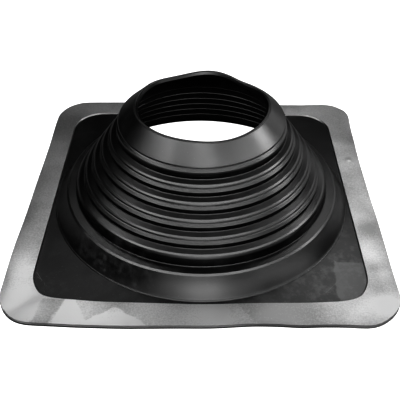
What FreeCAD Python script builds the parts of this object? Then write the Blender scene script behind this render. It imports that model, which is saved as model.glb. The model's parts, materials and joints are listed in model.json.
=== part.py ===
import FreeCAD, Part
import math
import os

# Pipe flashing boot: a stepped rubber cone on a square flange, edged with a soft aluminium rim.
# Millimetres. The origin is the bottom centre of the flange, and +Z is the axis of the pipe.

Vector = FreeCAD.Vector
ORIGIN = Vector(0, 0, 0)
UP = Vector(0, 0, 1)

# Flange and rim
base_side = 450.0            # outside of the square, edge to edge
base_corner = 43.0           # corner radius of the outside
flange_thickness = 4.1       # rubber plate
rim_width = 31.5             # aluminium band, from the outside to its opening
rim_thickness = 1.8          # band on top of the rubber
rim_edge_wall = 1.0          # turned-down outer edge, from the outside to the rubber
rim_edge_drop = 1.7          # reach of that edge below the top of the rubber
rim_edge_round = 0.8         # outer top edge of the band
rim_bevel_width = 4.0        # band rolled down towards its opening
rim_bevel_drop = 1.1
opening_corner = 42.0        # corner radius of the opening
rim_to_bead = 0.6            # clearance between the opening and the bead round the skirt

# Lip and collar
boot_height = 142.6          # mean height of the lip's top face
lip_bore_radius = 77.6       # straight land that grips the pipe
lip_thickness = 4.9          # top face of the lip, bore to outside
lip_lead_in = 0.8            # bore opened out at its wavy top
lip_land = 5.0               # straight land below that
lip_relief_drop = 3.5        # slope from the land back to the inner wall
collar_run = 20.3            # from the lip's outside to the collar's shoulder
collar_drop = 18.2

# Steps
wall = 3.6                   # rubber wall of the cone
step_count = 5               # equal steps below the collar
first_step_run = 9.6         # collar's shoulder to the first step's shoulder
first_step_drop = 18.3
last_step_run = 16.1         # last equal step's shoulder to the wide step's shoulder
last_step_drop = 13.9
tread_run = 7.5              # sloping tread of an equal step
tread_drop = 3.2
wide_tread_run = 11.7        # nearly level tread of the wide step
wide_tread_drop = 1.0
band_share = 0.60            # ribbed band of each riser, as a share of the riser's drop
band_overhang = 0.3          # lower edge of that band, beyond the foot of its riser
last_band_share = 0.30       # the same on the lowest riser
last_band_overhang = -1.4
collar_edge_slant = 1.0      # slanted edge where the collar ends
step_edge_slant = 2.4        # slanted bead along the outer edge of each equal step
wide_edge_run = 0.8          # slanted bead of the wide step, measured along its tread
wide_edge_reach = 2.1        # and down the skirt

# Skirt
skirt_run = 17.3             # wide step's shoulder to the foot of the skirt
skirt_rise = 25.0            # height of that shoulder above the plate
bead_width = 1.2             # thin ring at the foot of the skirt
bead_height = 0.7
root_thickness = 9.5         # rubber between the foot of the skirt and the hole under it
root_height = 3.0            # upright wall of that hole

# The soft lip doesn't lie flat: (waves round the lip, height of a wave, turn of its crest in degrees
# from the front towards +X)
lip_waves = ((1, 1.3, 0.0), (3, 0.8, -36.0), (4, 0.6, -11.0), (6, 0.5, -11.0))
lip_wave_points = 72         # points on each edge of the surface that trims the lip
trim_margin = 6.0            # reach of that surface inside and outside the lip

opening_side = base_side - 2 * rim_width
bead_radius = opening_side / 2 - rim_to_bead
skirt_radius = bead_radius - bead_width
root_radius = skirt_radius - root_thickness
rim_top = flange_thickness + rim_thickness
rebate_floor = flange_thickness - rim_edge_drop
seat_side = base_side - 2 * rim_edge_wall
seat_corner = base_corner - rim_edge_wall
lip_wave_reach = sum(height for waves, height, turn in lip_waves)


def rounded_square(side, corner, z):
    """Closed outline of a square with round corners, centred on the axis."""
    half = side / 2
    straight = half - corner
    diagonal = straight + corner * math.cos(math.pi / 4)
    edges = []
    for quarter in range(4):
        turn = FreeCAD.Rotation(UP, 90 * quarter)
        points = [Vector(half, -straight, z), Vector(half, straight, z),
                  Vector(diagonal, diagonal, z), Vector(straight, half, z)]
        start, end, middle, finish = [turn.multVec(point) for point in points]
        edges.append(Part.LineSegment(start, end).toShape())
        edges.append(Part.Arc(end, middle, finish).toShape())
    return Part.Wire(edges)


def prism(side, corner, low, high):
    face = Part.Face(rounded_square(side, corner, low))
    return face.extrude(Vector(0, 0, high - low))


def step_corners():
    """Treads and shoulders of the cone from the collar's shoulder down, as (radius, height)."""
    shoulder_radius = lip_bore_radius + lip_thickness + collar_run
    shoulder_height = boot_height - collar_drop
    first_radius = shoulder_radius + first_step_run
    first_height = shoulder_height - first_step_drop
    wide_radius = skirt_radius - skirt_run
    wide_height = flange_thickness + skirt_rise
    last_radius = wide_radius - last_step_run
    last_height = wide_height + last_step_drop
    corners = [(shoulder_radius, shoulder_height)]
    for step in range(step_count):
        share = step / (step_count - 1)
        radius = first_radius + share * (last_radius - first_radius)
        height = first_height + share * (last_height - first_height)
        corners.append((radius - tread_run, height + tread_drop))
        corners.append((radius, height))
    corners.append((wide_radius - wide_tread_run, wide_height + wide_tread_drop))
    corners.append((wide_radius, wide_height))
    return corners


def outer_corners(outline):
    """The cone's outside from the lip down: slanted edges, bands that slope and feet that stand steep."""
    places = [Vector(radius, 0, height) for radius, height in outline]
    corners = []
    for riser in range(step_count + 2):
        before, shoulder, foot = places[2 * riser], places[2 * riser + 1], places[2 * riser + 2]
        skirt = riser > step_count
        band_end = foot
        if not skirt:
            lowest = riser == step_count
            share = last_band_share if lowest else band_share
            overhang = last_band_overhang if lowest else band_overhang
            band_end = Vector(foot.x + overhang, 0, shoulder.z + share * (foot.z - shoulder.z))
        up_tread = (before - shoulder).normalize()
        down = (band_end - shoulder).normalize()
        slant = collar_edge_slant if riser == 0 else step_edge_slant
        run = reach = slant / (down - up_tread).Length
        if skirt:
            run, reach = wide_edge_run, wide_edge_reach
        corners += [shoulder + up_tread * run, shoulder + down * reach]
        if not skirt:
            corners += [band_end, foot]
    return [(place.x, place.z) for place in corners]


def inner_corners(points):
    """Corners of the inner wall: each outer corner moved in so that the wall keeps its thickness."""
    inner = []
    for before, here, after in zip(points, points[1:], points[2:]):
        normals = []
        for start, end in ((before, here), (here, after)):
            run, rise = end[0] - start[0], end[1] - start[1]
            length = math.hypot(run, rise)
            normals.append((rise / length, -run / length))
        (a, b), (c, d) = normals
        reach = wall / (1 + a * c + b * d)
        inner.append((here[0] + reach * (a + c), here[1] + reach * (b + d)))
    return inner


def profile_wire(corners):
    """Closed section in the XZ plane from (radius, height) corners."""
    places = [Vector(radius, 0, height) for radius, height in corners]
    return Part.makePolygon(places + places[:1])


def lip_height(angle):
    """Height of the lip's top face at an angle from the front towards +X."""
    return boot_height + sum(height * math.cos(waves * (angle - math.radians(turn)))
                             for waves, height, turn in lip_waves)


def lip_trim():
    """Body above the wavy top face of the lip."""
    rings = []
    for radius in (lip_bore_radius - trim_margin, lip_bore_radius + lip_thickness + trim_margin):
        points = []
        for number in range(lip_wave_points):
            angle = 2 * math.pi * number / lip_wave_points
            points.append(Vector(radius * math.sin(angle), -radius * math.cos(angle),
                                 lip_height(angle)))
        ring = Part.BSplineCurve()
        ring.interpolate(Points=points, PeriodicFlag=True)
        rings.append(ring.toShape())
    surface = Part.makeRuledSurface(rings[0], rings[1])
    return surface.extrude(Vector(0, 0, 3 * lip_wave_reach))


def make_cone():
    """Lip, collar, steps and skirt, turned about the axis."""
    lip_outside = lip_bore_radius + lip_thickness
    lip_top = boot_height + lip_wave_reach
    foot = (skirt_radius, flange_thickness + bead_height)
    outline = [(lip_outside, boot_height)] + step_corners() + [foot]
    inner = inner_corners(outline)
    land_top = boot_height - lip_wave_reach
    land_end = land_top - lip_land
    shoulder = inner[0]
    slope = collar_drop / collar_run
    relief_height = land_end - lip_relief_drop
    relief_radius = shoulder[0] - (relief_height - shoulder[1]) / slope
    corners = [(lip_outside, lip_top), (lip_outside, boot_height)] + outer_corners(outline)
    corners += [foot, (bead_radius, foot[1]), (bead_radius, 0.0),
                (root_radius, 0.0), (root_radius, root_height)]
    corners += list(reversed(inner))
    corners += [(relief_radius, relief_height), (lip_bore_radius, land_end),
                (lip_bore_radius, land_top), (lip_bore_radius + lip_lead_in, lip_top)]
    section = Part.Face(profile_wire(corners))
    return section.revolve(ORIGIN, UP, 360).cut(lip_trim())


def make_rubber_boot():
    """One moulding: the cone and the flange that it stands on, with a rebate for the rim's edge."""
    lower_plate = prism(base_side, base_corner, 0.0, rebate_floor)
    upper_plate = prism(seat_side, seat_corner, rebate_floor, flange_thickness)
    hole = Part.makeCylinder((root_radius + bead_radius) / 2, flange_thickness)
    plate = lower_plate.fuse(upper_plate).cut(hole)
    return plate.fuse(make_cone()).removeSplitter()


def make_aluminium_rim():
    """Flat band on the flange, turned down over its outside and rolled down at its opening."""
    band = prism(base_side, base_corner, rebate_floor, rim_top)
    top_edges = [edge for edge in band.Edges
                 if all(abs(vertex.Z - rim_top) < 1e-6 for vertex in edge.Vertexes)]
    band = band.makeFillet(rim_edge_round, top_edges)
    seat = prism(seat_side, seat_corner, rebate_floor, flange_thickness)
    opening = prism(opening_side, opening_corner, rebate_floor, rim_top)
    bevel_side = opening_side + 2 * rim_bevel_width
    bevel_corner = opening_corner + rim_bevel_width
    bevel = Part.makeLoft([rounded_square(opening_side, opening_corner, rim_top - rim_bevel_drop),
                           rounded_square(bevel_side, bevel_corner, rim_top)], True, True)
    return band.cut(seat).cut(opening).cut(bevel)


def main():
    os.makedirs("parts", exist_ok=True)
    nodes = {"rubber_boot": make_rubber_boot(), "aluminium_rim": make_aluminium_rim()}
    for name, shape in nodes.items():
        shape = shape.Solids[0] if len(shape.Solids) == 1 else shape
        print(name, "solids", len(shape.Solids), "valid", shape.isValid(),
              "volume", round(shape.Volume), "faces", len(shape.Faces))
        shape.exportStep("parts/" + name + ".step")


main()
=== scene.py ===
import json
import math

import bpy
from mathutils import Matrix, Vector


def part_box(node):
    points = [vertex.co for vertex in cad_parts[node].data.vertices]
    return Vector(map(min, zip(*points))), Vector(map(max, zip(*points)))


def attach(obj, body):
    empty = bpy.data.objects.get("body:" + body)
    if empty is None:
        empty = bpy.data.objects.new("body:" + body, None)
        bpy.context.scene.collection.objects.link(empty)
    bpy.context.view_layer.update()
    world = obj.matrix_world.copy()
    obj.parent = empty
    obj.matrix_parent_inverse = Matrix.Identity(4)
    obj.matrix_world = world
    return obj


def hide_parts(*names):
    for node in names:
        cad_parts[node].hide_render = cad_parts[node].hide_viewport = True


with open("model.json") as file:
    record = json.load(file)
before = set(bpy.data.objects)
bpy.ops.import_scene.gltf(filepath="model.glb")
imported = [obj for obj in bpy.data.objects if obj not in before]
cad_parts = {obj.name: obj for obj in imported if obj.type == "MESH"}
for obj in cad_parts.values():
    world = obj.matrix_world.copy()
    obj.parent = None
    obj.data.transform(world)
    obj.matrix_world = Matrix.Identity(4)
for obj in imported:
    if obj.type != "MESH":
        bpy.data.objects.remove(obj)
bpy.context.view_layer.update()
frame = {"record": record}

rimLow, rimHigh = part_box("aluminium_rim")
mounts = {mount["name"]: mount for mount in frame["record"]["mounts"]}
millimetre = 0.001

# The flange: what the boot and the rim share
flange = {
    "halfSide": rimHigh.x,
    "corner": 0.043,             # corner radius of the outside
    "bandWidth": 0.0315,         # aluminium, from the outside to its opening
    "openingCorner": 0.042,
    "plateTop": 0.0041,          # top of the rubber plate
    "edgeWall": 0.001,           # turned-down edge of the aluminium
    "edgeBottom": rimLow.z,
    "bandTop": rimHigh.z,
    "beadRadius": 0.1929,        # thin ring at the foot of the skirt
    "squareRadius": 0.2,         # only a start: fully square rings take their reach from the sides
    "segments": 288,             # round the axis
    "crispAngle": 0.62,          # sharper bends than this, in radians, aren't shaded smooth
    "flatMargin": 0.012,         # the sheet lies flat up to this far inside the rim's opening
    "ripple": 0.0012,            # size of its small ripples
    "rippleMiddle": 0.35,        # level of its noise that lies flat
    "rippleScale": 22.0,
    # it isn't flat or straight outside that: place, spread, then how far it is pushed there
    "swells": (
        ((-0.225, -0.215), 0.055, (0.0, 0.0, 0.0028)),
        ((-0.225, -0.120), 0.050, (-0.0012, 0.0, 0.0022)),
        ((-0.225, 0.100), 0.070, (0.0016, 0.0, 0.0)),
        ((-0.225, 0.225), 0.040, (0.0040, -0.0020, 0.0012)),
        ((-0.090, -0.225), 0.085, (0.0, -0.0042, 0.0)),
        ((-0.110, -0.225), 0.050, (0.0, 0.0, 0.0008)),
        ((0.060, -0.225), 0.060, (0.0, 0.0, 0.0012)),
        ((0.225, -0.225), 0.050, (0.0, 0.0, 0.0012)),
        ((0.225, -0.060), 0.050, (0.0010, 0.0, 0.0)),
        ((0.225, 0.060), 0.060, (0.0, 0.0, 0.0018)),
        ((0.210, 0.212), 0.036, (0.0086, 0.0022, 0.0)),
        ((0.225, 0.170), 0.028, (0.0018, 0.0, 0.0)),
        ((0.225, 0.130), 0.040, (0.0025, 0.0, 0.0)),
        ((0.110, 0.225), 0.050, (0.0, -0.0030, 0.0)),
        ((0.170, 0.225), 0.035, (0.0, -0.0024, 0.0)),
        ((0.010, -0.225), 0.035, (0.0, -0.0018, 0.0)),
        ((0.108, -0.225), 0.018, (0.0, -0.0013, 0.0)),
        ((0.182, -0.225), 0.016, (0.0, -0.0013, 0.0)),
        ((0.222, -0.222), 0.018, (-0.0016, 0.0016, 0.0)),
        ((-0.212, -0.225), 0.022, (-0.0010, -0.0014, 0.0)),
        ((-0.110, 0.225), 0.060, (0.0, 0.0, 0.0010)),
    ),
}

boot = {
    "boreRadius": mounts["pipe_bore"]["dims"]["r_mm"] * millimetre,
    "lipThickness": 0.0049,
    "lipTop": 0.1426,            # mean height of the lip
    "lipMiddle": 0.62,           # where its top face is lowest, as a share of its thickness
    "lipDish": 0.0004,           # how low
    # its two edges, each towards the other: how far over, how far down, rounding
    "lipOuterEdge": ((0.0011, 0.0004, 0.0003), (0.0009, 0.0, 0.0002), (0.0, 0.0001, 0.0004),
                     (-0.0002, 0.0007, 0.0004)),
    "lipInnerEdge": ((0.0, 0.0003, 0.0003), (0.0003, 0.0, 0.0002), (0.0009, 0.0004, 0.0)),
    "leadIn": (0.0014, 0.0034),  # slope from the lip's top face into the bore
    "landHeight": 0.0052,        # straight land inside the lip
    "reliefDrop": 0.0022,        # slope from the land out to the collar's inside
    "collarFoot": (0.1028, 0.1244),   # radius and height of the collar's shoulder
    "firstShoulder": (0.1124, 0.1061),
    "lastShoulder": (0.1585, 0.0430),
    "wideShoulder": (0.1746, 0.0291),
    "steps": 5,
    "treadRun": 0.0075,
    "treadDrop": 0.0032,
    "wideTreadRun": 0.0117,
    "wideTreadDrop": 0.001,
    "wall": 0.0036,
    "beadWidth": 0.0016,         # ring at the foot of the skirt
    "beadHeight": 0.0010,
    "beadTop": (0.0004, 0.0001),     # its small top, along and up
    "beadFoot": 0.0005,          # from the ring to the plain plate
    "skirtHollow": 0.0008,       # the skirt is slightly hollow
    "skirtShares": (0.2, 0.4, 0.6, 0.8),     # where it has rings, from top to bottom
    "skirtEnd": (-0.001, 0.0012),    # where the skirt bends towards its ring
    "plateShares": (0.35, 0.7),  # how square the plate's rings are, on their way out to the opening
    "bandShares": (0.33, 0.67),  # where it has rings under the band
    "underShares": (0.6, 0.3),   # how square the underside's rings are, on their way in
    "outerEdge": 0.0003,         # slope along the plate's outside
    "rootRadius": 0.1822,        # hole in the underside
    "rootHeight": 0.003,
    "rootFlat": 0.004,           # flat of the underside round that hole
    # a thin line on the inside where each riser ends: how far it stands out, how far up the wall
    "innerLine": ((0.0006, 0.0003), (0.0006, 0.0008), (0.0, 0.0012)),
    "paintedShadeInside": 11,            # inner corners that carry painted shade (they lose gloss), counted from the lip
    "lipLean": 0.6,              # how far the lip's waves lean outwards, in radians
    # the soft lip doesn't lie flat: waves round it, size of a wave, turn of its crest from the front
    "lipWaves": (
        (1, 0.0016, -14), (2, 0.0004, -53), (3, 0.0012, -40),
        (4, 0.0012, -14), (5, 0.0006, 22), (6, 0.0008, -10),
    ),
}


# Node helpers

def newTree(name, inputs, outputs):
    tree = bpy.data.node_groups.new(name, "GeometryNodeTree")
    for socketName, socketKind, value in inputs:
        socket = tree.interface.new_socket(socketName, in_out="INPUT", socket_type=socketKind)
        if value is not None:
            socket.default_value = value
    for socketName, socketKind in outputs:
        tree.interface.new_socket(socketName, in_out="OUTPUT", socket_type=socketKind)
    return tree, tree.nodes.new("NodeGroupInput").outputs, tree.nodes.new("NodeGroupOutput").inputs


def feed(tree, socket, value):
    if isinstance(value, bpy.types.NodeSocket):
        tree.links.new(value, socket)
    else:
        socket.default_value = value


def addNode(tree, kind, values=None, **settings):
    node = tree.nodes.new(kind)
    for key, value in settings.items():
        setattr(node, key, value)
    for key, value in (values or {}).items():
        feed(tree, node.inputs[key], value)
    return node


def calc(tree, operation, *values):
    node = addNode(tree, "ShaderNodeMath", operation=operation)
    for socket, value in zip(node.inputs, values):
        feed(tree, socket, value)
    return node.outputs[0]


def product(tree, first, *others):
    for value in others:
        first = calc(tree, "MULTIPLY", first, value)
    return first


def smoothStep(tree, value, start, end):
    values = {"Value": value, "From Min": start, "From Max": end}
    node = addNode(tree, "ShaderNodeMapRange", values, interpolation_type="SMOOTHSTEP")
    return node.outputs["Result"]


def namedValue(tree, name):
    node = addNode(tree, "GeometryNodeInputNamedAttribute", {"Name": name})
    return node.outputs["Attribute"]


def splitVector(tree, vector):
    return addNode(tree, "ShaderNodeSeparateXYZ", {"Vector": vector}).outputs


def joinVector(tree, x, y, z):
    return addNode(tree, "ShaderNodeCombineXYZ", {"X": x, "Y": y, "Z": z}).outputs[0]


def vectorCalc(tree, operation, first, second):
    node = addNode(tree, "ShaderNodeVectorMath", operation=operation)
    feed(tree, node.inputs[0], first)
    feed(tree, node.inputs[1], second)
    return node.outputs


def addVectors(tree, first, second):
    return vectorCalc(tree, "ADD", first, second)["Vector"]


def scaleVector(tree, vector, scale):
    node = addNode(tree, "ShaderNodeVectorMath", {"Scale": scale}, operation="SCALE")
    feed(tree, node.inputs[0], vector)
    return node.outputs["Vector"]


def fromAbove(tree, place):
    x, y = splitVector(tree, place)[:2]
    return joinVector(tree, x, y, 0.0)


def flatLength(tree, x, y):
    return calc(tree, "SQRT", calc(tree, "ADD", product(tree, x, x), product(tree, y, y)))


def bellAt(tree, flatPlace, middle, spread):
    # 1 at the middle, fading out over the spread
    gap = vectorCalc(tree, "DISTANCE", flatPlace, (*middle, 0.0))["Value"]
    rate = calc(tree, "DIVIDE", gap, spread)
    return calc(tree, "EXPONENT", product(tree, rate, rate, -1.0))


# Geometry Nodes: a profile turned about the axis, whose outer rings pass from round to square

def squareReach(tree, dirX, dirY, half, corner):
    # how far a square with round corners reaches in that direction
    wide = calc(tree, "ABSOLUTE", dirX)
    deep = calc(tree, "ABSOLUTE", dirY)
    longer = calc(tree, "MAXIMUM", wide, deep)
    shorter = calc(tree, "MINIMUM", wide, deep)
    straight = calc(tree, "SUBTRACT", half, corner)
    flatReach = calc(tree, "DIVIDE", half, longer)
    along = product(tree, calc(tree, "ADD", wide, deep), straight)
    missing = calc(tree, "SUBTRACT", product(tree, straight, straight, 2.0),
                   product(tree, corner, corner))
    under = calc(tree, "SUBTRACT", product(tree, along, along), missing)
    roundReach = calc(tree, "ADD", along, calc(tree, "SQRT", calc(tree, "MAXIMUM", under, 0.0)))
    onCorner = calc(tree, "GREATER_THAN", product(tree, flatReach, shorter), straight)
    extra = product(tree, onCorner, calc(tree, "SUBTRACT", roundReach, flatReach))
    return calc(tree, "ADD", flatReach, extra)


def makeTurnTree():
    tree, given, result = newTree(
        "turnedSection",
        [("Section", "NodeSocketGeometry", None), ("Segments", "NodeSocketInt", 64),
         ("Guide Radius", "NodeSocketFloat", 0.1)],
        [("Mesh", "NodeSocketGeometry")])
    section = addNode(tree, "GeometryNodeMeshToCurve", {"Mesh": given["Section"]})
    shift = joinVector(tree, product(tree, given["Guide Radius"], -1.0), 0.0, 0.0)
    flipped = (1, -1, 1)                 # Curve to Mesh turns a profile upside down
    placed = addNode(tree, "GeometryNodeTransform",
                     {"Geometry": section.outputs[0], "Translation": shift, "Scale": flipped})
    circle = addNode(tree, "GeometryNodeCurvePrimitiveCircle",
                     {"Resolution": given["Segments"], "Radius": given["Guide Radius"]})
    upright = addNode(tree, "GeometryNodeSetCurveNormal", {"Curve": circle.outputs[0]}, mode="Z_UP")
    turned = addNode(tree, "GeometryNodeCurveToMesh",
                     {"Curve": upright.outputs[0], "Profile Curve": placed.outputs[0]})
    x, y, z = splitVector(tree, addNode(tree, "GeometryNodeInputPosition").outputs[0])
    radius = flatLength(tree, x, y)
    dirX, dirY = calc(tree, "DIVIDE", x, radius), calc(tree, "DIVIDE", y, radius)
    reach = squareReach(tree, dirX, dirY, namedValue(tree, "half"), namedValue(tree, "corner"))
    change = product(tree, namedValue(tree, "square"), calc(tree, "SUBTRACT", reach, radius))
    newRadius = calc(tree, "ADD", radius, change)
    place = joinVector(tree, product(tree, dirX, newRadius), product(tree, dirY, newRadius), z)
    squared = addNode(tree, "GeometryNodeSetPosition",
                      {"Geometry": turned.outputs[0], "Position": place})
    tree.links.new(squared.outputs[0], result["Mesh"])
    return tree


# Geometry Nodes: the waves of the soft lip, square to the collar and fading out at its foot

def makeLipTree():
    inputs = [("Mesh", "NodeSocketGeometry", None), ("Collar Foot", "NodeSocketFloat", 0.12),
              ("Lip Height", "NodeSocketFloat", 0.14), ("Lean", "NodeSocketFloat", 0.6)]
    inputs += [(f"Wave {waves}", "NodeSocketFloat", size) for waves, size, turn in boot["lipWaves"]]
    tree, given, result = newTree("softLip", inputs, [("Mesh", "NodeSocketGeometry")])
    x, y, z = splitVector(tree, addNode(tree, "GeometryNodeInputPosition").outputs[0])
    angle = calc(tree, "ARCTAN2", x, product(tree, y, -1.0))
    total = 0.0
    for waves, size, turn in boot["lipWaves"]:
        phase = product(tree, calc(tree, "SUBTRACT", angle, math.radians(turn)), waves)
        swing = product(tree, calc(tree, "COSINE", phase), given[f"Wave {waves}"])
        total = calc(tree, "ADD", swing, total)
    push = product(tree, total, smoothStep(tree, z, given["Collar Foot"], given["Lip Height"]))
    outward = calc(tree, "DIVIDE", product(tree, push, calc(tree, "SINE", given["Lean"])),
                   flatLength(tree, x, y))
    upward = product(tree, push, calc(tree, "COSINE", given["Lean"]))
    offset = joinVector(tree, product(tree, x, outward), product(tree, y, outward), upward)
    waved = addNode(tree, "GeometryNodeSetPosition", {"Geometry": given["Mesh"], "Offset": offset})
    tree.links.new(waved.outputs[0], result["Mesh"])
    return tree


# Geometry Nodes: the swells and ripples of the thin sheet

def addSwells(tree, flatPlace, swells, total):
    for swellPlace, spread, push in swells:
        bell = bellAt(tree, flatPlace, swellPlace, spread)
        total = addVectors(tree, total, scaleVector(tree, push, bell))
    return total


def makeSheetTree():
    tree, given, result = newTree(
        "softSheet",
        [("Mesh", "NodeSocketGeometry", None), ("Flat Reach", "NodeSocketFloat", 0.19),
         ("Free Reach", "NodeSocketFloat", 0.225), ("Ripple", "NodeSocketFloat", 0.0),
         ("Ripple Scale", "NodeSocketFloat", 20.0), ("Opening Give", "NodeSocketFloat", 0.0)],
        [("Mesh", "NodeSocketGeometry")])
    position = addNode(tree, "GeometryNodeInputPosition").outputs[0]
    flatPlace = fromAbove(tree, position)
    x, y = splitVector(tree, flatPlace)[:2]
    outward = calc(tree, "MAXIMUM", calc(tree, "ABSOLUTE", x), calc(tree, "ABSOLUTE", y))
    noise = addNode(tree, "ShaderNodeTexNoise",
                    {"Vector": flatPlace, "Scale": given["Ripple Scale"], "Detail": 1.0})
    ripple = calc(tree, "SUBTRACT", noise.outputs["Fac"], flange["rippleMiddle"])
    total = joinVector(tree, 0.0, 0.0, product(tree, ripple, given["Ripple"]))
    total = addSwells(tree, flatPlace, flange["swells"], total)
    opened = addSwells(tree, flatPlace, rim["openingSwells"], joinVector(tree, 0.0, 0.0, 0.0))
    share = smoothStep(tree, outward, given["Flat Reach"], given["Free Reach"])
    within = product(tree, calc(tree, "SUBTRACT", 1.0, share), product(tree, share, 4.0))    # most half way
    position = addVectors(tree, position, scaleVector(tree, total, share))
    give = product(tree, within, given["Opening Give"])
    position = addVectors(tree, position, scaleVector(tree, opened, give))
    x, y, z = splitVector(tree, position)
    aboveRoof = joinVector(tree, x, y, calc(tree, "MAXIMUM", z, 0.0))
    waved = addNode(tree, "GeometryNodeSetPosition", {"Geometry": given["Mesh"], "Position": aboveRoof})
    tree.links.new(waved.outputs[0], result["Mesh"])
    return tree


# Geometry Nodes: a whole piece, from its section to its material

def addGroup(tree, group, values):
    return addNode(tree, "GeometryNodeGroup", values, node_tree=group).outputs[0]


def makePieceTree(name, turnTree, lipTree, sheetTree):
    sheetSizes = ("Flat Reach", "Free Reach", "Ripple", "Ripple Scale", "Opening Give")
    lipSizes = ("Collar Foot", "Lip Height", "Lean")
    inputs = [("Section", "NodeSocketGeometry", None), ("Segments", "NodeSocketInt", 64),
              ("Crisp Angle", "NodeSocketFloat", 0.6), ("Material", "NodeSocketMaterial", None)]
    inputs += [(size, "NodeSocketFloat", 0.0) for size in sheetSizes]
    if lipTree:
        inputs += [(size, "NodeSocketFloat", 0.0) for size in lipSizes]
    tree, given, result = newTree(name, inputs, [("Mesh", "NodeSocketGeometry")])
    mesh = addGroup(tree, turnTree, {"Section": given["Section"], "Segments": given["Segments"]})
    if lipTree:
        mesh = addGroup(tree, lipTree, {"Mesh": mesh, **{size: given[size] for size in lipSizes}})
    mesh = addGroup(tree, sheetTree, {"Mesh": mesh, **{size: given[size] for size in sheetSizes}})
    smooth = addNode(tree, "GeometryNodeSetShadeSmooth", {"Geometry": mesh})
    bend = addNode(tree, "GeometryNodeInputMeshEdgeAngle").outputs["Unsigned Angle"]
    sharp = calc(tree, "GREATER_THAN", bend, given["Crisp Angle"])
    crisp = addNode(tree, "GeometryNodeSetShadeSmooth",
                    {"Geometry": smooth.outputs[0], "Selection": sharp, "Shade Smooth": False},
                    domain="EDGE")
    real = addNode(tree, "GeometryNodeRealizeInstances", {"Geometry": crisp.outputs[0]})
    painted = addNode(tree, "GeometryNodeSetMaterial",
                      {"Geometry": real.outputs[0], "Material": given["Material"]})
    tree.links.new(painted.outputs[0], result["Mesh"])
    return tree


# Sections: closed lines of rings, each with its place, how square it is and how much painted shade it
# carries (less gloss on rubber, a dark colour on aluminium)

roundings = {"fine": 0.0002, "thin": 0.0003, "small": 0.0006, "crease": 0.0008, "soft": 0.0012}
# painted shade: creases, the inside, the lip's top and the inner lines lose gloss so they look shaded
paintedShades = {"crease": 1.0, "inside": 1.0, "lip": 0.6, "innerLine": 0.5}


def ring(radius, height, square=0.0, half=0.0, corner=0.01, paintedShade=0.0):
    place = Vector((radius, height))
    return {"place": place, "square": square, "half": half, "corner": corner, "paintedShade": paintedShade}


def squareRing(height, half, corner, paintedShade=0.0):
    return ring(flange["squareRadius"], height, 1.0, half, corner, paintedShade)


def roundCorner(before, here, after, size, parts):
    toBefore = (before - here).normalized()
    toAfter = (after - here).normalized()
    halfAngle = toBefore.angle(toAfter) / 2
    cut = size / math.tan(halfAngle)
    centre = here + (toBefore + toAfter).normalized() * (size / math.sin(halfAngle))
    start = here + toBefore * cut - centre
    end = here + toAfter * cut - centre
    places = []
    for part in range(parts + 1):
        mixed = start.lerp(end, part / parts).normalized()
        places.append(centre + mixed * size)
    return places


def roundedLine(corners, bigParts=4):
    # each corner: place, rounding, then its painted shade, where it isn't glossy
    rings = []
    last = len(corners) - 1
    for index, (place, size, *paintedShade) in enumerate(corners):
        places = [Vector(place)]
        if size and 0 < index < last:
            before = Vector(corners[index - 1][0])
            after = Vector(corners[index + 1][0])
            parts = bigParts if size > roundings["small"] else 2
            places = roundCorner(before, places[0], after, size, parts)
        rings += [ring(*spot, paintedShade=sum(paintedShade)) for spot in places]
    return rings


def innerWall(points, wall):
    inner = []
    for before, here, after in zip(points, points[1:], points[2:]):
        normals = []
        for start, end in ((before, here), (here, after)):
            run, rise = end[0] - start[0], end[1] - start[1]
            length = math.hypot(run, rise)
            normals.append(Vector((rise / length, -run / length)))
        reach = wall / (1 + normals[0].dot(normals[1]))
        inner.append(Vector(here) + reach * (normals[0] + normals[1]))
    return inner


riser = {
    "beadWidth": 0.0024,         # slanted bead that ends each tread
    "beadRound": 0.0007,
    "collarBead": 0.4,           # the collar ends with a smaller bead and a higher groove
    "collarGroove": 0.5,
    "grooveDrop": 0.0026,        # groove under that bead
    "grooveDepth": 0.0005,
    "grooveWidth": 0.0009,
    "ridges": 4,                 # fine saw ridges under the groove
    "ridgePitch": 0.0012,
    "ridgeWidth": 0.00052,
    "ridgeLean": 48,             # degrees that their upper sides look up
    "bandShare": 0.60,           # of the riser's drop, down to its plain foot
    "overhang": 0.0003,          # lower edge of the band, beyond that foot
    "lastShare": 0.30,           # the same on the lowest riser, which has no ridges
    "lastOverhang": -0.0014,
    "wideEdge": (0.0012, 0.0021),    # slanted bead of the wide step: along its tread, down the skirt
    "lineHeight": 0.0005,        # thin raised line where the next tread starts
    "lineWidth": 0.0011,
    "lineStart": 0.6,            # share of its height where it leaves the riser
    "lineSink": 0.0002,          # its far side dips this far under the tread
}


def riserLine(top, foot, back, index):
    # from the bead down: groove, ridges, then a plain steep foot
    plain = index == boot["steps"]
    share = riser["lastShare"] if plain else riser["bandShare"]
    overhang = riser["lastOverhang"] if plain else riser["overhang"]
    bandEnd = Vector((foot.x + overhang, top.y + (foot.y - top.y) * share))
    along = (bandEnd - top).normalized()
    outward = Vector((-along.y, along.x))
    beadWidth, drop = riser["beadWidth"], riser["grooveDrop"]
    if index == 0:
        beadWidth, drop = beadWidth * riser["collarBead"], drop * riser["collarGroove"]
    cut = beadWidth / (along - back).length
    line = [(top + back * cut, riser["beadRound"]), (top + along * cut, riser["beadRound"])]
    if not plain:
        groove, width = top + along * drop, riser["grooveWidth"]
        bottom = groove + along * width / 2 - outward * riser["grooveDepth"]
        start = groove + along * width
        line += [(groove, roundings["fine"]), (bottom, roundings["fine"]), (start, 0)]
        step = along * riser["ridgePitch"]
        slope = math.tan(math.radians(riser["ridgeLean"]))
        tooth = Vector((riser["ridgeWidth"], -riser["ridgeWidth"] / slope))
        for number in range(riser["ridges"]):
            ridgeTop = start + step * number
            line += [(ridgeTop + tooth, 0), (ridgeTop + step, 0)]
    line.append((bandEnd, roundings["crease"], paintedShades["crease"]))
    return line


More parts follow.
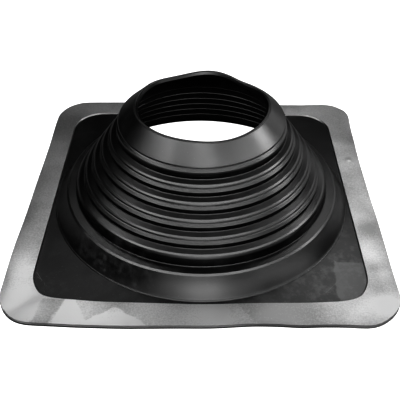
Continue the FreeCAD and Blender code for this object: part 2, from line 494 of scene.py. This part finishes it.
def raisedLine(treadStart):
    width, height = riser["lineWidth"], riser["lineHeight"]
    return [
        (treadStart + Vector((0, height * riser["lineStart"])), roundings["fine"], paintedShades["crease"]),
        (treadStart + Vector((width / 2, height)), roundings["thin"]),
        (treadStart + Vector((width, -riser["lineSink"])), roundings["thin"]),
    ]


def stepShoulders():
    first, last = Vector(boot["firstShoulder"]), Vector(boot["lastShoulder"])
    return [first.lerp(last, step / (boot["steps"] - 1)) for step in range(boot["steps"])]


def lipCorners(lipOutside):
    lipTop = boot["lipTop"]
    middle = boot["boreRadius"] + boot["lipThickness"] * boot["lipMiddle"]
    corners = [((middle, lipTop - boot["lipDish"]), 0, paintedShades["lip"])]
    for inward, down, size in boot["lipOuterEdge"]:
        corners.append(((lipOutside - inward, lipTop - down), size))
    return corners


def skirtCorners(shoulder, back, foot):
    along = (foot - shoulder).normalized()
    corners = []
    for way, cut in zip((back, along), riser["wideEdge"]):
        corners.append((shoulder + way * cut, roundings["small"]))
    start = shoulder + along * riser["wideEdge"][1]
    end = foot + Vector(boot["skirtEnd"])
    hollow = Vector((along.y, -along.x)) * boot["skirtHollow"]
    for share in boot["skirtShares"]:
        depth = 4 * share * (1 - share)      # deepest half way
        corners.append((start.lerp(end, share) + hollow * depth, 0))
    topRun, topRise = boot["beadTop"]
    corners += [(end, roundings["crease"]),
                (foot, roundings["thin"]),
                ((foot.x + topRun, foot.y + topRise), roundings["fine"]),
                ((flange["beadRadius"], flange["plateTop"]), 0)]
    return corners


def plateRings():
    # from the round ring to the square outside, then back along the underside
    half, corner = flange["halfSide"], flange["corner"]
    top, bottom = flange["plateTop"], flange["edgeBottom"]
    inset, slope = flange["edgeWall"], boot["outerEdge"]
    opening, openingCorner = half - flange["bandWidth"], flange["openingCorner"]
    rings = [ring(flange["beadRadius"] + boot["beadFoot"], top)]
    for share in boot["plateShares"]:
        rings.append(ring(flange["beadRadius"], top, share, opening, openingCorner))
    rings.append(squareRing(top, opening, openingCorner))
    for share in boot["bandShares"]:
        rings.append(squareRing(top, opening + share * (half - inset - opening), corner))
    rings += [squareRing(top, half - inset, corner - inset),
              squareRing(bottom, half - inset, corner - inset),
              squareRing(bottom, half - slope, corner - slope),
              squareRing(bottom - slope, half, corner),
              squareRing(slope * 2, half, corner),
              squareRing(0.0, half - slope * 2, corner - slope * 2)]
    for share in boot["underShares"]:
        rings.append(ring(boot["rootRadius"], 0.0, share, half, corner))
    return rings


def insideCorners(coarse):
    # up the inside, from the hole in the underside to the lip
    inner = innerWall(coarse, boot["wall"])
    bore, lipTop, rootRadius = boot["boreRadius"], boot["lipTop"], boot["rootRadius"]
    landBottom = lipTop - boot["landHeight"]
    slope = (coarse[0][1] - coarse[1][1]) / (coarse[1][0] - coarse[0][0])
    reliefHeight = landBottom - boot["reliefDrop"]
    reliefRadius = inner[0].x - (reliefHeight - inner[0].y) / slope
    corners = [((rootRadius + boot["rootFlat"], 0), 0),
               ((rootRadius, 0), roundings["small"]),
               ((rootRadius, boot["rootHeight"]), roundings["crease"])]
    for index in range(len(inner) - 1, -1, -1):
        # painted shade: inner corners near the lip lose gloss
        paintedShade = paintedShades["inside"] if index <= boot["paintedShadeInside"] else 0.0
        riserEnd = index % 2 == 1
        corners.append((inner[index], 0 if riserEnd else roundings["crease"], paintedShade))
        if riserEnd:
            rise = (inner[index - 1] - inner[index]).normalized()
            inward = Vector((-rise.y, rise.x))
            for reach, height in boot["innerLine"]:
                spot = inner[index] + inward * reach + rise * height
                corners.append((spot, 0, paintedShades["innerLine"]))
    corners += [((reliefRadius, reliefHeight), roundings["soft"], paintedShades["inside"]),
                ((bore, landBottom), roundings["soft"], paintedShades["inside"]),
                ((bore, lipTop - boot["leadIn"][1]), roundings["soft"])]
    for outward, down, size in boot["lipInnerEdge"]:
        corners.append(((bore + boot["leadIn"][0] + outward, lipTop - down), size))
    return corners


def bootSection():
    lipOutside = boot["boreRadius"] + boot["lipThickness"]
    tread = Vector((boot["treadRun"], -boot["treadDrop"]))
    wideTread = Vector((boot["wideTreadRun"], -boot["wideTreadDrop"]))
    skirtRadius = flange["beadRadius"] - boot["beadWidth"]
    skirtFoot = Vector((skirtRadius, flange["plateTop"] + boot["beadHeight"]))
    shoulders = [Vector(boot["collarFoot"])] + stepShoulders() + [Vector(boot["wideShoulder"])]
    treads = [tread] * boot["steps"] + [wideTread]

    corners = lipCorners(lipOutside)
    coarse = [(lipOutside, boot["lipTop"])]      # the outside without its fine forms
    for index, shoulder in enumerate(shoulders):
        if index > 0:
            treadStart = shoulder - treads[index - 1]
            coarse.append(treadStart)
            corners += raisedLine(treadStart)
        back = (Vector(coarse[-1]) - shoulder).normalized()
        coarse.append(shoulder)
        if index < len(treads):
            nextStart = shoulders[index + 1] - treads[index]
            corners += riserLine(shoulder, nextStart, back, index)
        else:
            corners += skirtCorners(shoulder, back, skirtFoot)
    coarse.append((skirtRadius, flange["plateTop"]))
    return roundedLine(corners) + plateRings() + roundedLine(insideCorners(coarse), 2)


rim = {
    "bevelWidth": 0.0011,        # cut edge of the opening
    "bevelDrop": 0.0016,
    "bevelLine": 0.0002,         # its painted shade fades out over this
    "strips": 9,                 # across the band, up to this far from the outside
    "stripsEnd": 0.0007,
    # the turned-down side, from the top: how far in, how far down, how much painted shade
    "side": ((0.0001, 0.0, 0.8), (0.0, 0.0001, 1.0), (0.0001, 0.0009, 1.0), (0.0001, 0.0012, 0.4)),
    "sideFoot": (0.0004, 0.4),   # the same at its lower end, without the depth
    "openingGive": 1.0,          # share of the swells below that it follows
    # the opening isn't straight either: place, spread, then how far it is pushed there
    "openingSwells": (
        ((-0.160, -0.195), 0.036, (0.0034, 0.0056, 0.0)),
        ((0.0, -0.195), 0.055, (0.0, -0.0034, 0.0)),
        ((0.164, -0.195), 0.034, (-0.0046, 0.0036, 0.0)),
    ),
}


def bandRing(inset, height, paintedShade=0.0):
    share = inset / flange["bandWidth"]
    corner = flange["corner"] + share * (flange["openingCorner"] - flange["corner"])
    return squareRing(height, flange["halfSide"] - inset, corner, paintedShade)


def rimSection():
    width, top, bottom = flange["bandWidth"], flange["bandTop"], flange["plateTop"]
    bevelEnd = width - rim["bevelWidth"]
    # the cut bevel of the opening is fully darkened: painted shade
    rings = [bandRing(width, top - rim["bevelDrop"], 1.0), bandRing(bevelEnd, top, 1.0)]
    start, end = bevelEnd - rim["bevelLine"], rim["stripsEnd"]
    for part in range(rim["strips"] + 1):
        rings.append(bandRing(start + (end - start) * part / rim["strips"], top))
    for inset, drop, paintedShade in rim["side"]:
        rings.append(bandRing(inset, top - drop, paintedShade))
    footInset, footShade = rim["sideFoot"]
    rings += [bandRing(footInset, flange["edgeBottom"], footShade),
              bandRing(flange["edgeWall"], flange["edgeBottom"]),
              bandRing(flange["edgeWall"], bottom),
              bandRing(width / 2, bottom),
              bandRing(width, bottom)]
    return rings


def sectionObject(name, rings):
    count = len(rings)
    mesh = bpy.data.meshes.new(name)
    edges = [(index, (index + 1) % count) for index in range(count)]
    mesh.from_pydata([(item["place"].x, item["place"].y, 0) for item in rings], edges, [])
    for key in ("square", "half", "corner", "paintedShade"):
        attribute = mesh.attributes.new(key, "FLOAT", "POINT")
        attribute.data.foreach_set("value", [item[key] for item in rings])
    piece = bpy.data.objects.new(name, mesh)
    bpy.context.scene.collection.objects.link(piece)
    return piece


def runTree(piece, tree, values):
    modifier = piece.modifiers.new("build", "NODES")
    modifier.node_group = tree
    for item in tree.interface.items_tree:
        if item.in_out == "INPUT" and item.name in values:
            modifier[item.identifier] = values[item.name]
    shading = piece.modifiers.new("flat faces stay flat", "WEIGHTED_NORMAL")
    shading.weight = 100         # larger faces weigh most
    shading.keep_sharp = True
    graph = bpy.context.evaluated_depsgraph_get()
    mesh = bpy.data.meshes.new_from_object(piece.evaluated_get(graph))
    piece.modifiers.clear()
    piece.data = mesh
    mesh.name = piece.name
    for name in ("square", "half", "corner"):
        if name in mesh.attributes:
            mesh.attributes.remove(mesh.attributes[name])


# Materials

def newMaterial(name):
    material = bpy.data.materials.new(name)
    material.use_nodes = True
    tree = material.node_tree
    shader = next(node for node in tree.nodes if node.type == "BSDF_PRINCIPLED")
    place = tree.nodes.new("ShaderNodeTexCoord").outputs["Object"]
    return material, tree, shader.inputs, place


def noiseAt(tree, place, scale, detail=2.0, roughness=0.5):
    values = {"Vector": place, "Scale": scale, "Detail": detail, "Roughness": roughness}
    return addNode(tree, "ShaderNodeTexNoise", values).outputs["Fac"]


def strayAt(tree, place, scale, reach):
    # makes a drawn edge wander a little
    return product(tree, calc(tree, "SUBTRACT", noiseAt(tree, place, scale, 3.0), 0.5), reach)


def mixColour(tree, share, first, second):
    node = addNode(tree, "ShaderNodeMix", data_type="RGBA")
    feed(tree, node.inputs["Factor"], share)
    feed(tree, node.inputs[6], first)
    feed(tree, node.inputs[7], second)
    return node.outputs[2]


def between(tree, share, low, high):
    return calc(tree, "ADD", product(tree, share, high - low), low)


def addBump(tree, shader, place, noise, strength, distance):
    height = noiseAt(tree, place, *noise)
    bump = addNode(tree, "ShaderNodeBump", {"Height": height, "Strength": strength, "Distance": distance})
    feed(tree, shader["Normal"], bump.outputs[0])


# noises below: scale, detail, roughness; edges: where a noise or a height starts and ends to count
rubberLook = {
    "black": (0.0010, 0.0010, 0.0011, 1),
    "dusty": (0.112, 0.113, 0.113, 1),
    "roughness": (0.27, 0.36),
    "mottle": (45.0, 3.0, 0.6),          # noise of the roughness
    "cloud": (24.0, 4.0, 0.65),          # thin dust all over
    "cloudEdges": (0.46, 0.74),
    "cloudShare": 0.065,
    "speck": (620.0, 1.0),
    "speckEdges": (0.735, 0.80),
    "speckShare": 0.5,
    "smear": (95.0, 5.0, 0.7),           # breaks up the dust and the smears below
    "smearEdges": (0.44, 0.66),
    "plateDust": (0.65, 1.25),           # between smears and in them
    "plateEdges": (0.0075, 0.0060),      # the plate's dust ends between these heights
    "stray": (60.0, 0.014),
    "scratchEdges": (0.0005, 0.0002),    # half the width of a scratch, faint and full
    "scratchFull": 0.4,                  # share of its length, from the middle, that isn't faint
    "patchSide": (0.156, 0.159),         # left and back edges of a pale rubbed patch on the plate
    "patchBack": (0.127, 0.130),
    "patchShare": 0.50,
    "shine": (0.45, 1.0),                # specular level of the plate and of the cone
    "shineEdges": (0.0043, 0.0050),
    "paintedShadeShare": 0.85,                   # what hollows lose of it, a painted shade
    "grain": (1400.0, 2.0),
    "grainBump": (0.25, 0.0002),
    # dust on the plate: place, spread, share
    "dust": (
        ((0.160, -0.165), 0.055, 0.48), ((0.110, -0.195), 0.070, 0.17), ((-0.190, -0.190), 0.050, 0.14),
        ((0.182, -0.100), 0.035, 0.36), ((0.0, -0.190), 0.100, 0.14), ((0.200, -0.040), 0.030, 0.05),
    ),
    # smears on the skirt, in the same way
    "smears": (
        ((-0.104, -0.149), 0.022, 0.32), ((-0.135, -0.118), 0.018, 0.22), ((-0.070, -0.166), 0.018, 0.20),
    ),
    # scratches on the plate: start, end, how pale
    "scratches": (
        ((-0.1925, -0.1480), (-0.1825, -0.1630), 0.5), ((-0.1900, -0.1560), (-0.1850, -0.1600), 0.4),
        ((-0.1800, -0.1650), (-0.1780, -0.1700), 0.3), ((0.140, -0.180), (0.172, -0.146), 0.3),
    ),
}


def scratchMark(tree, x, y, start, end, pale):
    run = Vector(end) - Vector(start)
    fromStart = joinVector(tree, calc(tree, "SUBTRACT", x, start[0]),
                           calc(tree, "SUBTRACT", y, start[1]), 0.0)
    sideways = Vector((-run.y, run.x, 0.0)) / run.length
    forwards = Vector((run.x, run.y, 0.0)) / run.length
    away = vectorCalc(tree, "DOT_PRODUCT", fromStart, sideways)["Value"]
    along = vectorCalc(tree, "DOT_PRODUCT", fromStart, forwards)["Value"]
    beside = smoothStep(tree, calc(tree, "ABSOLUTE", away), *rubberLook["scratchEdges"])
    fromMiddle = calc(tree, "ABSOLUTE", calc(tree, "SUBTRACT", along, run.length / 2))
    within = smoothStep(tree, fromMiddle, run.length / 2, run.length * rubberLook["scratchFull"])
    return product(tree, beside, within, pale)


def dustShare(tree, place):
    x, y, z = splitVector(tree, place)
    flatPlace = fromAbove(tree, place)
    cloud = smoothStep(tree, noiseAt(tree, place, *rubberLook["cloud"]), *rubberLook["cloudEdges"])
    specks = smoothStep(tree, noiseAt(tree, place, *rubberLook["speck"]), *rubberLook["speckEdges"])
    smeared = smoothStep(tree, noiseAt(tree, place, *rubberLook["smear"]), *rubberLook["smearEdges"])
    dust = calc(tree, "ADD", product(tree, cloud, rubberLook["cloudShare"]),
                product(tree, specks, rubberLook["speckShare"]))
    onPlate = smoothStep(tree, z, *rubberLook["plateEdges"])
    onSkirt = product(tree, smeared, calc(tree, "SUBTRACT", 1.0, onPlate))
    mottled = product(tree, onPlate, between(tree, smeared, *rubberLook["plateDust"]))
    for places, where in ((rubberLook["dust"], mottled), (rubberLook["smears"], onSkirt)):
        for dustPlace, spread, share in places:
            bell = bellAt(tree, flatPlace, dustPlace, spread)
            dust = calc(tree, "ADD", dust, product(tree, bell, share, where))
    for start, end, pale in rubberLook["scratches"]:
        dust = calc(tree, "ADD", dust, scratchMark(tree, x, y, start, end, pale))
    stray = strayAt(tree, place, *rubberLook["stray"])
    across = smoothStep(tree, calc(tree, "ADD", x, stray), *rubberLook["patchSide"])
    forward = product(tree, calc(tree, "ADD", y, stray), -1.0)
    patch = product(tree, across, smoothStep(tree, forward, *rubberLook["patchBack"]), onPlate)
    dust = calc(tree, "ADD", dust, product(tree, patch, rubberLook["patchShare"]))
    return calc(tree, "MINIMUM", dust, 1.0)


def makeRubber():
    material, tree, shader, place = newMaterial("mouldedRubber")
    dust = dustShare(tree, place)
    feed(tree, shader["Base Color"], mixColour(tree, dust, rubberLook["black"], rubberLook["dusty"]))
    mottle = noiseAt(tree, place, *rubberLook["mottle"])
    feed(tree, shader["Roughness"], between(tree, mottle, *rubberLook["roughness"]))
    onCone = smoothStep(tree, splitVector(tree, place)["Z"], *rubberLook["shineEdges"])
    shine = between(tree, onCone, *rubberLook["shine"])
    # painted shade: the section's shade attribute takes gloss from creases, hollows and the inside
    paintedShade = addNode(tree, "ShaderNodeAttribute", attribute_name="paintedShade").outputs["Fac"]
    kept = calc(tree, "SUBTRACT", 1.0, product(tree, paintedShade, rubberLook["paintedShadeShare"]))
    feed(tree, shader["Specular IOR Level"], product(tree, shine, kept))
    addBump(tree, shader, place, rubberLook["grain"], *rubberLook["grainBump"])
    return material


metalLook = {
    "bright": (0.88, 0.88, 0.88, 1),
    "dull": (0.38, 0.38, 0.38, 1),
    "cut": (0.20, 0.20, 0.20, 1),        # cut and turned edges: painted shade, a dark colour where they lie in shadow
    "roughness": (0.30, 0.42),
    "level": 1.05,                       # how bright it is without noise clouds, speckles and painted reflections, 1 is bright
    "contrast": 1.2,
    "cloud": (11.0, 3.0, 0.55),          # noise of its wide duller clouds
    "cloudEdges": (0.38, 0.66),
    "cloudShare": -0.30,
    "speckle": (520.0, 3.0, 0.7),        # noise of its fine speckles
    "speckleShare": -1.00,
    "hammer": (260.0, 3.0, 0.6),
    "hammerBump": (0.15, 0.0004),
    # painted reflections on the rim, patches standing in for the lamps mirrored by its uneven face: place,
    # spread, how much brighter or duller
    "paintedReflections": (
        ((-0.212, -0.205), 0.030, 0.50), ((-0.205, -0.150), 0.024, 0.40),
        ((-0.205, -0.100), 0.030, -0.25), ((-0.205, -0.020), 0.060, 0.02),
        ((-0.200, 0.150), 0.070, -0.15), ((0.205, -0.050), 0.030, -0.05),
        ((0.200, -0.110), 0.014, 0.15), ((0.216, -0.116), 0.016, 0.30),
        ((0.203, -0.141), 0.008, -0.25), ((0.203, -0.176), 0.012, -0.30),
        ((0.211, -0.074), 0.016, -0.45), ((-0.187, -0.209), 0.016, 0.35),
        ((-0.196, -0.190), 0.020, 0.40), ((0.020, -0.205), 0.024, 0.42),
        ((0.060, -0.205), 0.030, -0.35), ((0.212, -0.150), 0.010, 0.30),
        ((0.205, -0.205), 0.026, 0.50), ((0.165, -0.212), 0.022, 0.12),
        ((0.100, -0.205), 0.040, -0.35), ((0.000, -0.210), 0.045, 0.22),
        ((-0.090, -0.200), 0.022, -0.35), ((-0.110, -0.215), 0.050, 0.15),
        ((0.212, -0.195), 0.018, 0.40), ((0.180, -0.205), 0.012, 0.10),
        ((0.211, 0.074), 0.005, -0.60), ((0.211, 0.071), 0.003, 0.80),
        ((0.205, 0.020), 0.045, -0.45),
    ),
    # chalky spots, which mirror less: place, spread, share
    "chalky": (((0.004, -0.206), 0.026, 0.14), ((-0.190, -0.208), 0.020, 0.12)),
    # crisp wedges of painted reflection along the front: middle, lean, half widths at the opening and
    # outside, strength
    "reflectionWedges": (
        (-0.146, 0.10, 0.0055, 0.0200, 0.50), (-0.164, -0.24, 0.0125, 0.0120, -0.40),
        (-0.095, 0.00, -0.0120, 0.0330, 0.50), (0.022, 0.55, 0.0160, 0.0220, 0.18),
    ),
    "wedgeFront": (0.190, 0.193),        # they lie further forward than this
    "wedgeEdges": (-0.0022, 0.0022),
    "wedgeStray": (90.0, 0.012),
}


def toneAndPaintedReflections(tree, place, flatPlace, speckle):
    x, y = splitVector(tree, flatPlace)[:2]
    cloud = smoothStep(tree, noiseAt(tree, place, *metalLook["cloud"]), *metalLook["cloudEdges"])
    share = calc(tree, "ADD", product(tree, cloud, metalLook["cloudShare"]),
                 product(tree, speckle, metalLook["speckleShare"]))
    share = calc(tree, "ADD", share, metalLook["level"])
    # painted reflections: placed bright and dark patches
    for reflectionPlace, spread, strength in metalLook["paintedReflections"]:
        bell = bellAt(tree, flatPlace, reflectionPlace, spread)
        share = calc(tree, "ADD", share, product(tree, bell, strength))
    forward = product(tree, y, -1.0)
    inFront = smoothStep(tree, forward, *metalLook["wedgeFront"])
    depth = calc(tree, "SUBTRACT", forward, flange["halfSide"] - flange["bandWidth"])
    stray = strayAt(tree, place, *metalLook["wedgeStray"])
    # painted reflections: crisp bright and dark wedges along the front
    for middle, lean, inner, outer, strength in metalLook["reflectionWedges"]:
        centre = calc(tree, "ADD", product(tree, depth, lean), middle)
        offset = calc(tree, "ADD", calc(tree, "ABSOLUTE", calc(tree, "SUBTRACT", x, centre)), stray)
        growth = (outer - inner) / flange["bandWidth"]
        half = calc(tree, "ADD", product(tree, depth, growth), inner)
        inside = smoothStep(tree, calc(tree, "SUBTRACT", half, offset), *metalLook["wedgeEdges"])
        share = calc(tree, "ADD", share, product(tree, inside, inFront, strength))
    share = product(tree, share, metalLook["contrast"])
    return calc(tree, "MAXIMUM", calc(tree, "MINIMUM", share, 1.0), 0.0)


def makeAluminium():
    material, tree, shader, place = newMaterial("softAluminium")
    flatPlace = fromAbove(tree, place)
    speckle = noiseAt(tree, place, *metalLook["speckle"])
    # random tone from noise clouds and speckles, plus painted reflections, mixes dull and bright metal
    share = toneAndPaintedReflections(tree, place, flatPlace, speckle)
    face = mixColour(tree, share, metalLook["dull"], metalLook["bright"])
    # painted shade: cut and turned edges are mixed towards the dark cut colour
    paintedShade = addNode(tree, "ShaderNodeAttribute", attribute_name="paintedShade").outputs["Fac"]
    feed(tree, shader["Base Color"], mixColour(tree, paintedShade, face, metalLook["cut"]))
    feed(tree, shader["Roughness"], between(tree, speckle, *metalLook["roughness"]))
    metallic = 1.0
    for spot, spread, chalk in metalLook["chalky"]:
        bell = bellAt(tree, flatPlace, spot, spread)
        metallic = calc(tree, "SUBTRACT", metallic, product(tree, bell, chalk))
    feed(tree, shader["Metallic"], metallic)
    addBump(tree, shader, place, metalLook["hammer"], *metalLook["hammerBump"])
    return material


# Stage, light and camera

ground = {
    "reach": 3.0,
    "drop": 0.0002,              # just under the part
    "shade": (0.26, 0.26, 0.26, 1),
    "roughness": 0.9,
    "shine": 0.1,
    "seen": (1, 1, 1, 1),        # what the camera sees of it and of the background
}


def makeFloor():
    mesh = bpy.data.meshes.new("floor")
    reach = ground["reach"]
    corners = [(-reach, -reach, 0), (reach, -reach, 0), (reach, reach, 0), (-reach, reach, 0)]
    mesh.from_pydata(corners, [], [(0, 1, 2, 3)])
    floor = bpy.data.objects.new("floor", mesh)
    bpy.context.scene.collection.objects.link(floor)
    floor.location.z = -ground["drop"]
    material, tree, shader = newMaterial("paleFloor")[:3]
    shader["Base Color"].default_value = ground["shade"]
    shader["Roughness"].default_value = ground["roughness"]
    shader["Specular IOR Level"].default_value = ground["shine"]
    shader["Emission Color"].default_value = ground["seen"]
    seen = addNode(tree, "ShaderNodeLightPath").outputs["Is Camera Ray"]
    feed(tree, shader["Emission Strength"], seen)
    mesh.materials.append(material)


# Soft boxes: turn round the object from the front towards the right, rise, reach, size,
# watts a square metre. They all face the middle of the cone.
lampAim = (0, 0, 0.06)
lamps = {
    "frontTop": {"turn": -5, "rise": 55, "reach": 1.7, "size": (1.5, 0.45), "glow": 12.2},
    "leftTop": {"turn": -72, "rise": 46, "reach": 1.7, "size": (1.3, 0.45), "glow": 13.8},
    "rightTop": {"turn": 58, "rise": 50, "reach": 1.7, "size": (1.1, 0.45), "glow": 10.5},
    "frontLow": {"turn": 2, "rise": 22, "reach": 1.7, "size": (0.7, 0.7), "glow": 6.5},
    "frontWide": {"turn": 4, "rise": 20, "reach": 1.75, "size": (2.2, 0.7), "glow": 3},
    "rightLow": {"turn": 58, "rise": 9, "reach": 1.7, "size": (1.3, 0.45), "glow": 3.8},
    "rightFar": {"turn": 126, "rise": 11, "reach": 1.7, "size": (1.0, 0.5), "glow": 2.6},
    "right": {"turn": 97, "rise": 34, "reach": 1.7, "size": (0.6, 0.4), "glow": 25},
    "backRight": {"turn": 156, "rise": 44, "reach": 1.7, "size": (0.45, 0.4), "glow": 6.7},
    "back": {"turn": 176, "rise": 42, "reach": 1.7, "size": (0.5, 0.4), "glow": 4.3},
    "backLeft": {"turn": -158, "rise": 49, "reach": 1.7, "size": (0.35, 0.35), "glow": 6.9},
}


def makeLights():
    for name, lamp in lamps.items():
        light = bpy.data.lights.new(name, "AREA")
        light.shape = "RECTANGLE"
        light.size, light.size_y = lamp["size"]
        light.energy = lamp["glow"] * light.size * light.size_y
        turn, rise = math.radians(lamp["turn"]), math.radians(lamp["rise"])
        level = math.cos(rise)
        away = Vector((level * math.sin(turn), -level * math.cos(turn), math.sin(rise)))
        item = bpy.data.objects.new(name, light)
        item.location = Vector(lampAim) + away * lamp["reach"]
        item.rotation_euler = away.to_track_quat("Z", "Y").to_euler()
        bpy.context.scene.collection.objects.link(item)


def makeBackground():
    # white to the camera, dark to the part
    world = bpy.data.worlds.new("studio")
    world.use_nodes = True
    tree = world.node_tree
    background = tree.nodes["Background"]
    background.inputs["Color"].default_value = ground["seen"]
    seen = addNode(tree, "ShaderNodeLightPath").outputs["Is Camera Ray"]
    feed(tree, background.inputs["Strength"], seen)
    bpy.context.scene.world = world
    bpy.context.scene.view_settings.view_transform = "Standard"
    bpy.context.scene.view_settings.look = "High Contrast"


view = {
    "place": (-0.0014, -0.6656, 0.5506),
    "down": 40.05,               # tilt and roll in degrees
    "roll": 0.44,
    "lens": 57.46,               # millimetres
    "sensor": 36.0,
    "nearest": 0.01,
}


def makeCamera():
    data = bpy.data.cameras.new("camera")
    data.lens = view["lens"]
    data.sensor_width = view["sensor"]
    data.dof.use_dof = False
    data.clip_start = view["nearest"]
    camera = bpy.data.objects.new("camera", data)
    turn = Matrix.Rotation(math.radians(90 - view["down"]), 4, "X")
    roll = Matrix.Rotation(math.radians(view["roll"]), 4, "Z")
    camera.matrix_world = Matrix.Translation(view["place"]) @ turn @ roll
    bpy.context.scene.collection.objects.link(camera)
    bpy.context.scene.camera = camera


makeCamera()
makeLights()
makeBackground()
makeFloor()
print("stage ready")

rubber = makeRubber()
aluminium = makeAluminium()
print("materials ready")

turnTree = makeTurnTree()
lipTree = makeLipTree()
sheetTree = makeSheetTree()
opening = flange["halfSide"] - flange["bandWidth"]
shared = {
    "Segments": flange["segments"],
    "Crisp Angle": flange["crispAngle"],
    "Flat Reach": opening - flange["flatMargin"],
    "Free Reach": flange["halfSide"],
    "Ripple": flange["ripple"],
    "Ripple Scale": flange["rippleScale"],
}

bootPiece = sectionObject("rubberBoot", bootSection())
bootTree = makePieceTree("stepped boot", turnTree, lipTree, sheetTree)
runTree(bootPiece, bootTree, {**shared, "Material": rubber, "Collar Foot": boot["collarFoot"][1],
                              "Lip Height": boot["lipTop"], "Lean": boot["lipLean"]})
print("boot", len(bootPiece.data.polygons) * 2, "triangles")

rimPiece = sectionObject("aluminiumRim", rimSection())
rimTree = makePieceTree("bonded rim", turnTree, None, sheetTree)
runTree(rimPiece, rimTree, {**shared, "Material": aluminium, "Opening Give": rim["openingGive"]})
print("rim", len(rimPiece.data.polygons) * 2, "triangles")

for piece, node, slot in ((bootPiece, "rubber_boot", "rubber"), (rimPiece, "aluminium_rim", "aluminium")):
    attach(piece, "root")
    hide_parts(node)
